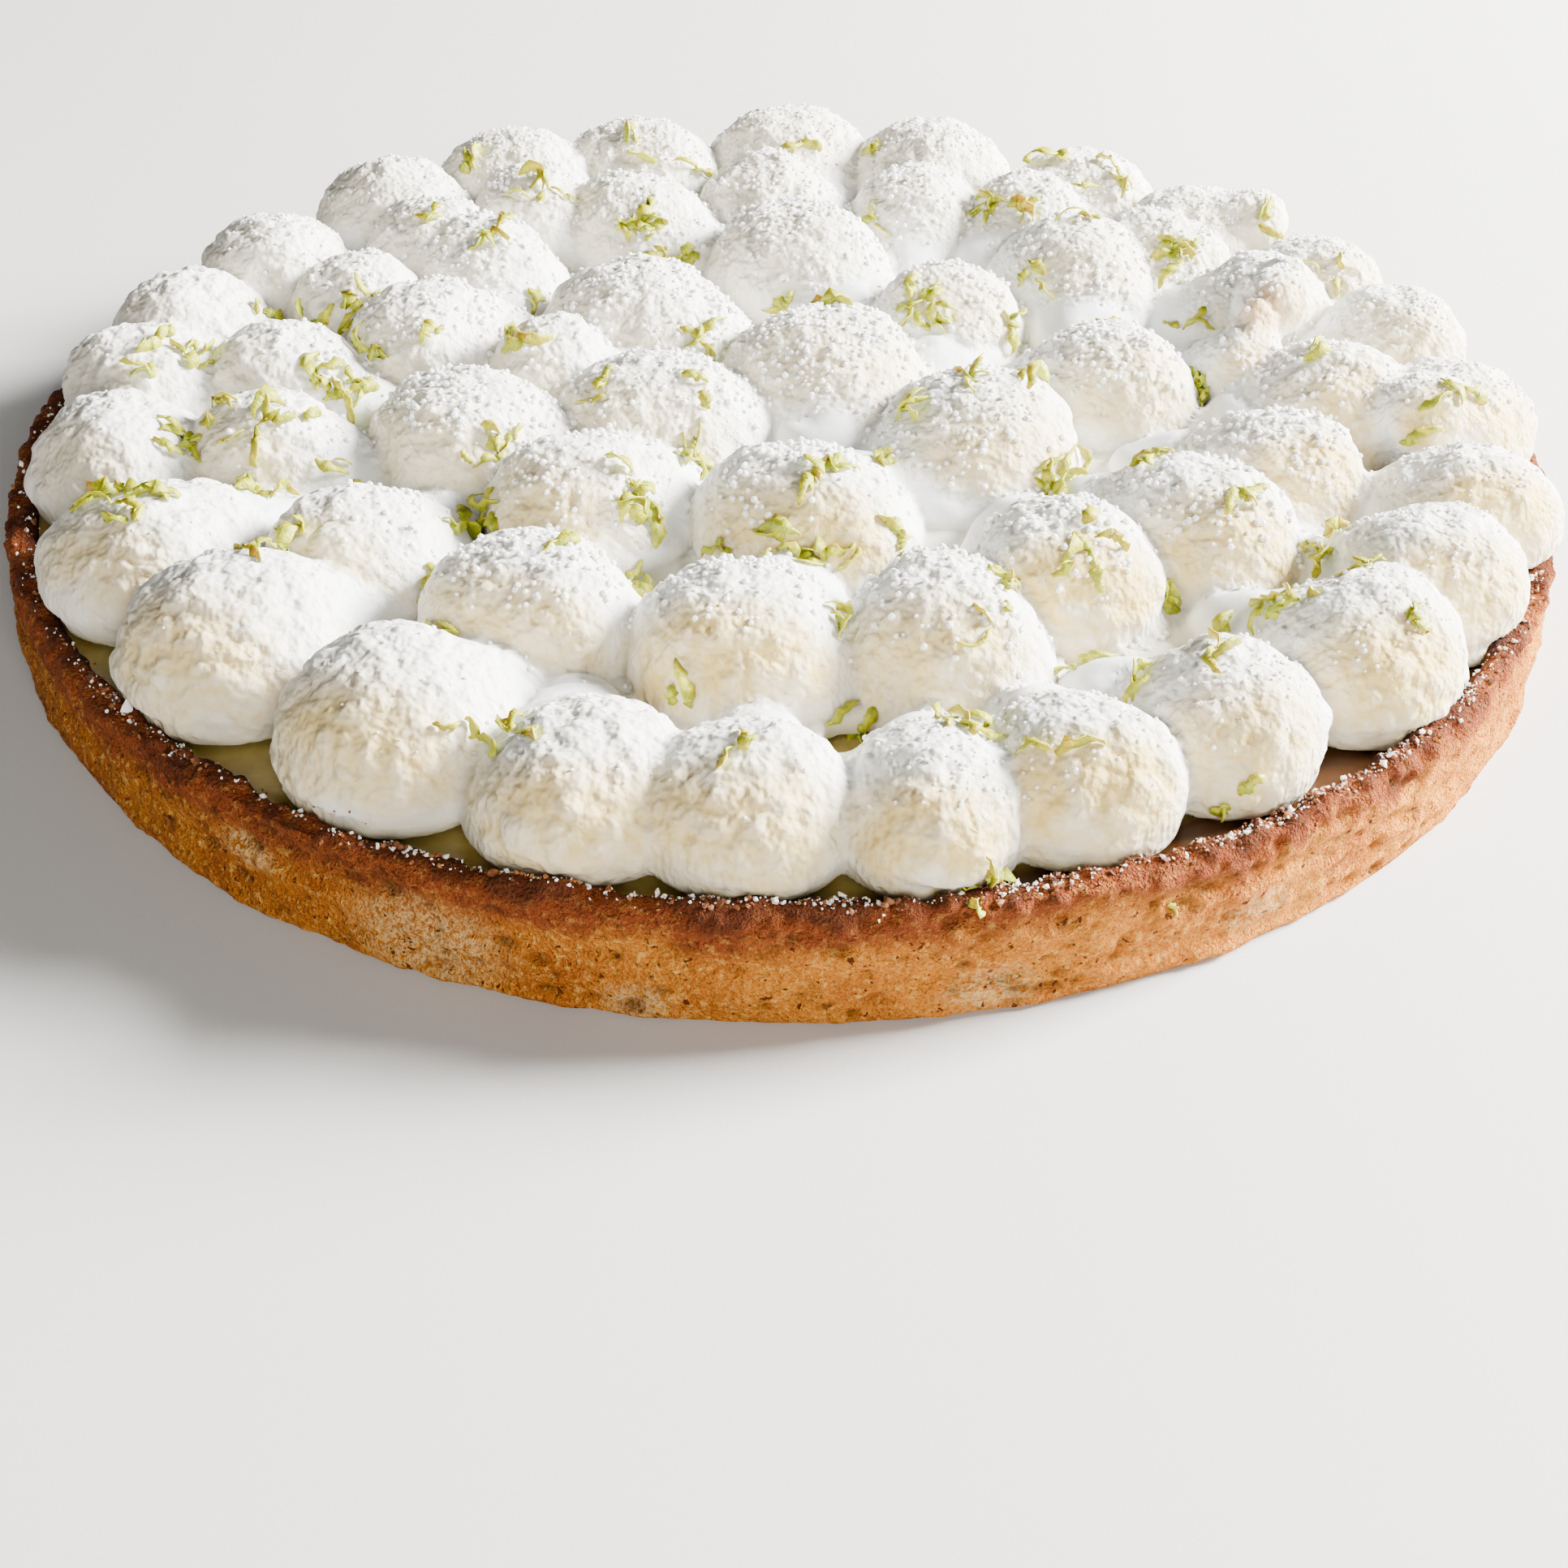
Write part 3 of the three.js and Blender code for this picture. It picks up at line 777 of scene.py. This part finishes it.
def beads(points, quads, facing, on_cap):
    """Sugar beads lying on the caps, fewer at the left front and finer along the rim."""
    random = np.random.RandomState(SEED)
    corners = points[quads]
    area = np.linalg.norm(
        np.cross(corners[:, 2] - corners[:, 0], corners[:, 3] - corners[:, 1]), axis=1) / 2
    wanted = on_cap * step_up(facing[:, 2], 0.45, 0.9) * (1 - 0.93 * left_front(points))
    wanted *= 0.25 + step_up(noise(points, size=7, seed=50), -0.5, 0.4)
    share = area * wanted[quads].mean(axis=1)
    chosen = random.choice(len(quads), BEADS, p=share / share.sum())
    spot = random.random((BEADS, 4))
    spot /= spot.sum(axis=1, keepdims=True)
    places = (corners[chosen] * spot[:, :, None]).sum(axis=1)
    finer = step_up(np.hypot(places[:, 0], places[:, 1]), 80, 100)
    sizes = BEAD_SIZE * (1 + random.random(BEADS) ** 1.5) * (1 - 0.4 * finer)
    places += facing[quads[chosen, 0]] * (0.2 * sizes)[:, None]
    shaped, faces = grains(random, places, sizes, BEAD_ROUNDNESS)
    mesh_piece("sugar_beads", shaped, faces, bead_look(), smooth=False)


# ------------------------------------------------------------------ the zest

SHRED_STEPS = 8
SHRED_HALF_THICKNESS = 0.12
SHREDS_PER_TUFT = 2.3


def shred(random, surface, place, heading, length, width):
    """A curled strip lying on a surface: its points, faces, and which points are on the pith."""
    steps = SHRED_STEPS
    bend = random.uniform(-0.3, 0.3)
    roll = random.uniform(-0.9, 0.9)
    twist = random.uniform(-0.35, 0.35)
    arch = random.uniform(0, 0.3) * length
    spine, ups = [], []
    # From end to end, -1 to 1
    share = [2 * i / (steps - 1) - 1 for i in range(steps)]
    for i in range(steps):
        place, up = surface.find_nearest(place)[:2]
        rise = 0.3 + arch * (1 - share[i] ** 2)
        spine.append(np.array(place + rise * up))
        ups.append(np.array(up))
        heading = heading - heading.dot(up) * up
        heading = Matrix.Rotation(bend * length / (steps - 1), 3, up) @ heading.normalized()
        place = place + heading * length / (steps - 1)
    spine = np.array(spine)
    along = np.gradient(spine, axis=0)
    along /= np.maximum(np.linalg.norm(along, axis=1, keepdims=True), 1e-6)
    points, pith = [], []
    for i in range(steps):
        level = np.cross(ups[i], along[i])
        up = np.cross(along[i], level)
        turn = roll + twist * i
        side = math.cos(turn) * level + math.sin(turn) * up
        top = math.cos(turn) * up - math.sin(turn) * level
        taper = 1 - 0.7 * abs(share[i]) ** 3
        halves = 0.5 * width * taper * random.uniform(0.35, 1.3, 2)
        for a, b in ((-1, -1), (1, -1), (1, 1), (-1, 1)):
            across = side * a * halves[(a + 1) // 2]
            points.append(spine[i] + across + top * b * SHRED_HALF_THICKNESS)
            pith.append(b < 0)
    faces = [(3, 2, 1, 0)]
    for i in range(steps - 1):
        for j in range(4):
            a, b = 4 * i + j, 4 * i + (j + 1) % 4
            faces.append((a, b, b + 4, a + 4))
    last = 4 * (steps - 1)
    faces.append((last, last + 1, last + 2, last + 3))
    return points, faces, pith


def seen_at(surface, x, y):
    """The place on a surface that shows at a pixel of the picture, or None."""
    turned = bpy.context.scene.camera.matrix_world.to_3x3()
    focal = CAMERA_LENS / SENSOR * PICTURE_SIZE
    aim = Vector((x - PICTURE_SIZE / 2, PICTURE_SIZE / 2 - y, -focal))
    return surface.ray_cast(Vector(CAMERA_PLACE), (turned @ aim).normalized())[0]


def zest(surface):
    """Tufts of shreds where the picture shows them."""
    random = np.random.RandomState(SEED + 1)
    points, faces, pith = [], [], []
    for x, y, count in ZEST:
        middle = seen_at(surface, x, y)
        if middle is None:
            continue
        for _ in range(math.ceil(SHREDS_PER_TUFT * count)):
            offset = Vector(random.normal(size=3) * (0.3 + 0.65 * math.sqrt(count)))
            heading = Vector(random.normal(size=3))
            length = random.uniform(2.2, 5) + 4 * random.random() ** 3
            width = random.uniform(1.2, 2.8)
            strip = shred(random, surface, middle + offset, heading, length, width)
            start = len(points)
            points += strip[0]
            faces += [[index + start for index in face] for face in strip[1]]
            pith += strip[2]
    made = mesh_piece("lime_zest", points, faces, zest_look())
    paint(made, "pith", np.array(pith) * 0.6)


# ------------------------------------------------------------------ the shell and the curd


def wave(angle, phase):
    """The same gentle wave round the shell as in the part's source."""
    slow = np.sin(3 * angle + phase) + 0.8 * np.sin(7 * angle + 2.3 * phase)
    quick = 0.6 * np.sin(16 * angle + 4.1 * phase) + 0.5 * np.sin(29 * angle + 1.7 * phase)
    return (slow + quick) / 2.2


def resampled(outline, spacing):
    """Points at even spacing along an outline."""
    outline = np.array(outline, dtype=float)
    lengths = np.concatenate([[0], np.cumsum(np.linalg.norm(np.diff(outline, axis=0), axis=1))])
    count = int(round(lengths[-1] / spacing)) + 1
    at = np.linspace(0, lengths[-1], count)
    return np.stack([np.interp(at, lengths, outline[:, i]) for i in range(2)], axis=1)


def ring_faces(rows, columns):
    """Quads joining rows of points that each go once round."""
    row, column = np.meshgrid(np.arange(rows - 1), np.arange(columns), indexing="ij")
    ahead = (column + 1) % columns
    quads = [row * columns + column, row * columns + ahead,
             (row + 1) * columns + ahead, (row + 1) * columns + column]
    return np.stack(quads, axis=-1).reshape(-1, 4)


# Millimetres between the rows of the shell's mesh, and points in each row
SHELL_SPACING = 0.55
SHELL_COLUMNS = 1150
# The direction of the daylight, from which the shell is painted palest. It is darkest, with
# painted shade, on the opposite side
PAINTED_LIGHT_WAY = 20
# How deep the coarse crags, the swellings and the crags of the patches are, in millimetres
CRAG_DEPTHS = (0.3, 0.28, 0.45)
# How much deeper they are along the rim
RIM_CRAG_DEPTH = 0.35


def crust():
    """The shell: a fine mesh over its section, with crags, pits and crumbly patches."""
    rounding = RIM_ROUNDING
    section = resampled([
        (SHELL_RADIUS - 9, 0.15), (SHELL_RADIUS - 1.2, 0.1), (SHELL_RADIUS - 0.5, 0.4),
        (SHELL_RADIUS - 0.1, 1.2), (SHELL_RADIUS, 4),
        (SHELL_RADIUS, SHELL_HEIGHT - 1.6 * rounding),
        (SHELL_RADIUS - 0.15 * rounding, SHELL_HEIGHT - 0.8 * rounding),
        (SHELL_RADIUS - 0.5 * rounding, SHELL_HEIGHT - 0.25 * rounding),
        (SHELL_RADIUS - rounding, SHELL_HEIGHT),
        (INSIDE_RADIUS + rounding, SHELL_HEIGHT),
        (INSIDE_RADIUS + 0.4 * rounding, SHELL_HEIGHT - 0.3 * rounding),
        (INSIDE_RADIUS, SHELL_HEIGHT - 1.2 * rounding),
        (INSIDE_RADIUS, CURD_TOP - 3),
    ], SHELL_SPACING)
    angle = np.linspace(0, 2 * math.pi, SHELL_COLUMNS, endpoint=False)
    radius, height = section[:, :1], section[:, 1:]
    radius = radius + 0 * angle
    height = height + 0 * angle
    outside = (radius > SHELL_RADIUS - 1.3) & (height > 0.3)
    radius = radius + outside * WALL_WAVE * wave(angle, 1 + 0.35 * height)
    near_rim = step_up(height, SHELL_HEIGHT - 3, SHELL_HEIGHT - 1)
    height = height + near_rim * RIM_WAVE * wave(angle, 5 + 0.4 * (radius - INSIDE_RADIUS))
    points = np.stack([radius * np.cos(angle), radius * np.sin(angle), height], axis=-1)
    shape = points.shape[:2]
    points = points.reshape(-1, 3)
    faces = ring_faces(*shape)
    facing = point_normals(points, faces)
    # Coarse crumb, which grows rougher towards the rim
    coarse, swelling, patchy = CRAG_DEPTHS
    rough = coarse + RIM_CRAG_DEPTH * near_rim.reshape(-1)
    crag = rough * (noise(points, size=2.6, seed=60) + 0.8 * noise(points, size=1.3, seed=61))
    crag += swelling * noise(points, size=7, seed=62)
    crumbly = np.zeros(len(points))
    for degrees, level, reach in PALE_PATCHES:
        middle = [*polar(degrees, SHELL_RADIUS), level]
        away = np.linalg.norm((points - middle) / [1, 1, 0.6], axis=1)
        crumbly = np.maximum(crumbly, 1 - step_up(away, 0.3 * reach, reach))
    crag += patchy * crumbly * noise(points, size=1.5, seed=65)
    depth, pit = pits(points)
    lift = (crag - depth) * step_up(points[:, 2], 0.1, 0.9)
    points = points + facing * lift[:, None]
    points[:, 2] = np.maximum(points[:, 2], 0)
    underside = [list(range(SHELL_COLUMNS - 1, -1, -1))]
    made = mesh_piece("crust_shell", points, faces.tolist() + underside, crust_look())
    way = np.arctan2(points[:, 1], points[:, 0])
    # The browning begins at an uneven height, lower on the left, which takes painted shade. The
    # rim's edges are burnt, and the inner edge is darkened also as painted shadow
    level = points[:, 2] + 1.6 * noise(points, size=8, seed=63)
    level += 1.1 * noise(points, size=2.5, seed=64)
    # The inner edge of the rim: burnt, and darkened with painted shadow
    inner_burn_and_shade = 1 - step_up(np.hypot(points[:, 0], points[:, 1]), INSIDE_RADIUS + 0.3,
                        INSIDE_RADIUS + 1.6)
    # Painted shade, darkest on the side away from the daylight; it also lowers the browning
    left = 0.5 - 0.5 * np.cos(way - math.radians(PAINTED_LIGHT_WAY))
    burnt_and_shaded = 0.7 * step_up(level, SHELL_HEIGHT - 1.4, SHELL_HEIGHT + 0.9) + 0.6 * inner_burn_and_shade
    paint(made, "left", 0.6 * left ** 2)
    paint(made, "baked", step_up(level + 2.5 * left, SHELL_HEIGHT - 5.5, SHELL_HEIGHT - 0.3))
    paint(made, "burnt_and_shaded", np.clip(burnt_and_shaded, 0, 1))
    # Painted shade in the pits
    paint(made, "pit", pit)
    paint(made, "pale", crumbly)
    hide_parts("crust")
    return made, points


def pits(points):
    """Small holes in the side where bubbles broke: their depth, and how dark each point is painted
    as shade in the holes.
    """
    random = np.random.RandomState(SEED + 2)
    depth = np.zeros(len(points))
    dark = np.zeros(len(points))
    way = np.arctan2(points[:, 1], points[:, 0])
    for index in range(PITS):
        angle = random.uniform(-math.pi, math.pi)
        height = random.uniform(1.2, SHELL_HEIGHT - 1.5)
        size = 0.35 + 0.75 * random.random() ** 2.5
        stretch = random.uniform(1, 2.2)
        if index < len(LARGE_PITS):
            degrees, height, size, stretch = LARGE_PITS[index]
            angle = math.remainder(math.radians(degrees), 2 * math.pi)
        near = np.flatnonzero(
            (np.abs(way - angle) < 4 * size / SHELL_RADIUS) & (points[:, 2] > height - 3))
        along = (way[near] - angle) * SHELL_RADIUS / stretch
        up = points[near, 2] - height
        hole = np.exp(-((along / size) ** 2 + (up / size) ** 2) ** 1.5)
        depth[near] = np.maximum(depth[near], 0.75 * size * hole)
        dark[near] = np.maximum(dark[near], 0.85 * hole * random.uniform(0.3, 1))
    return depth, dark


# The front of the rim, where most crumbs lie, and the share of them that lie in the smears
CRUMBS_WAY = 300
SHARE_IN_SMEARS = 0.3
# Mean half width of the grains, and how widely they are spread across the rim
SUGAR_SIZE = 0.36
SUGAR_BREADTH = 0.9
CRUMB_SIZE = 0.42
CRUMB_BREADTH = 1.3
CRUMB_ROUNDNESS = 0.35


def rim_crumbs(surface, name, count, seed, size, breadth, chips, material):
    """Grains along the top of the rim, thickest right of its front, and a few larger chips."""
    random = np.random.RandomState(seed)
    way = np.radians(CRUMBS_WAY) + 1.3 * random.normal(size=count)
    patches = random.choice(np.radians(SMEARS), count) + 0.035 * random.normal(size=count)
    way = np.where(random.random(count) < SHARE_IN_SMEARS, patches, way)
    out = INSIDE_RADIUS + 1.2 + breadth * random.normal(size=count)
    sized = size * (0.5 + random.random(count) ** 2 + 1.6 * random.random(count) ** 12)
    wanted = list(zip(way, out, sized)) + [(math.radians(d), r, s) for d, r, s in chips]
    places, sizes = [], []
    for angle, radius, grain_size in wanted:
        x, y = radius * math.cos(angle), radius * math.sin(angle)
        hit = surface.ray_cast(Vector((x, y, 80)), Vector((0, 0, -1)))[0]
        if hit and CURD_TOP - 1 < hit.z < SHELL_HEIGHT + 1.5:
            sizes.append(grain_size)
            places.append((x, y, hit.z + 0.3 * grain_size))
    shaped, faces = grains(random, np.array(places), sizes, CRUMB_ROUNDNESS)
    mesh_piece(name, shaped, faces, material, smooth=False)


# Rings of the curd's mesh, which are closer together near the shell, and points in each
CURD_RINGS = np.concatenate([np.linspace(1, 108, 60), np.linspace(109, INSIDE_RADIUS - 0.2, 14)])
CURD_COLUMNS = 240


def curd():
    """The top of the filling, which climbs a little where it meets the shell."""
    angle = np.linspace(0, 2 * math.pi, CURD_COLUMNS, endpoint=False)
    radius = CURD_RINGS[:, None] + 0 * angle
    climb = 0.5 * step_up(radius, INSIDE_RADIUS - 3, INSIDE_RADIUS)
    points = np.stack([radius * np.cos(angle), radius * np.sin(angle), climb], axis=-1)
    points = points.reshape(-1, 3)
    points[:, 2] += CURD_TOP - 0.35 + 0.2 * noise(points, size=14, seed=70)
    faces = ring_faces(len(CURD_RINGS), CURD_COLUMNS)
    made = mesh_piece("curd_filling", points, faces, curd_look())
    # Brown, and painted shadow of the rim and meringue, near the shell and more on the right
    out = np.hypot(points[:, 0], points[:, 1]) + 0.1 * points[:, 0]
    paint(made, "edge", step_up(out, INSIDE_RADIUS - 4, INSIDE_RADIUS - 0.4))
    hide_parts("lemon_curd")
    return made, points


# ------------------------------------------------------------------ stage, light and camera

FLOOR_SIZE = 3000
SKY_COLOUR = (0.92, 0.96, 1.0, 1)
SKY_STRENGTH = 0.18
# Each lamp's place, width, power in watts and colour
DAYLIGHT = ((1000, 300, 520), 450, 182, (1.0, 0.985, 0.96))
FILL = ((200, -1000, 350), 500, 12.5, (1.0, 0.96, 0.9))


def stage():
    """The floor."""
    half = FLOOR_SIZE / 2
    corners = [(-half, -half, 0), (half, -half, 0), (half, half, 0), (-half, half, 0)]
    mesh = bpy.data.meshes.new("floor")
    mesh.from_pydata([tuple(value * MM for value in corner) for corner in corners], [],
                     [(0, 1, 2, 3)])
    mesh.materials.append(floor_look())
    floor = bpy.data.objects.new("floor", mesh)
    bpy.context.scene.collection.objects.link(floor)


def lamp(name, place, size, power, colour):
    """A square soft light aimed at the pie."""
    data = bpy.data.lights.new(name, "AREA")
    data.size = size * MM
    data.energy = power
    data.color = colour
    made = bpy.data.objects.new(name, data)
    made.location = Vector(place) * MM
    made.rotation_euler = (-made.location).to_track_quat("-Z", "Y").to_euler()
    bpy.context.scene.collection.objects.link(made)


def lights():
    """A pale sky, a window behind on the right, and a weak fill from the front."""
    world = bpy.data.worlds.new("studio")
    bpy.context.scene.world = world
    world.use_nodes = True
    background = world.node_tree.nodes["Background"]
    background.inputs["Color"].default_value = SKY_COLOUR
    background.inputs["Strength"].default_value = SKY_STRENGTH
    lamp("daylight", *DAYLIGHT)
    lamp("fill", *FILL)


def camera():
    """The camera of the picture."""
    data = bpy.data.cameras.new("camera")
    data.lens = CAMERA_LENS
    data.sensor_width = SENSOR
    data.clip_start = 0.01
    made = bpy.data.objects.new("camera", data)
    turn = (Matrix.Rotation(math.radians(-CAMERA_RIGHT), 4, "Z")
            @ Matrix.Rotation(math.radians(90 - CAMERA_DOWN), 4, "X")
            @ Matrix.Rotation(math.radians(CAMERA_ROLL), 4, "Z"))
    made.matrix_world = Matrix.Translation(Vector(CAMERA_PLACE) * MM) @ turn
    bpy.context.scene.collection.objects.link(made)
    bpy.context.scene.camera = made


# ------------------------------------------------------------------ the pie


def joined(pieces):
    """One surface to lay grains on, from pairs of a piece and its points in millimetres."""
    points, faces = [], []
    for made, made_points in pieces:
        offset = len(points)
        points += made_points.tolist()
        faces += [[index + offset for index in face.vertices] for face in made.data.polygons]
    return BVHTree.FromPolygons(points, faces)


camera()
lights()
stage()
filling, filling_points = curd()
shell, shell_points = crust()
dressed, points, quads, facing, on_cap = meringue()
beads(points, quads, facing, on_cap)
surface = joined([(dressed, points), (shell, shell_points), (filling, filling_points)])
zest(surface)
rim_crumbs(surface, "sugar_crumbs", SUGAR_CRUMBS, SEED + 3, SUGAR_SIZE, SUGAR_BREADTH, CHIPS,
           crumb_look("sugar_crumb", SUGAR_COLOURS))
rim_crumbs(surface, "crust_crumbs", CRUST_CRUMBS, SEED + 4, CRUMB_SIZE, CRUMB_BREADTH, [],
           crumb_look("crust_crumb", CRUMB_COLOURS))
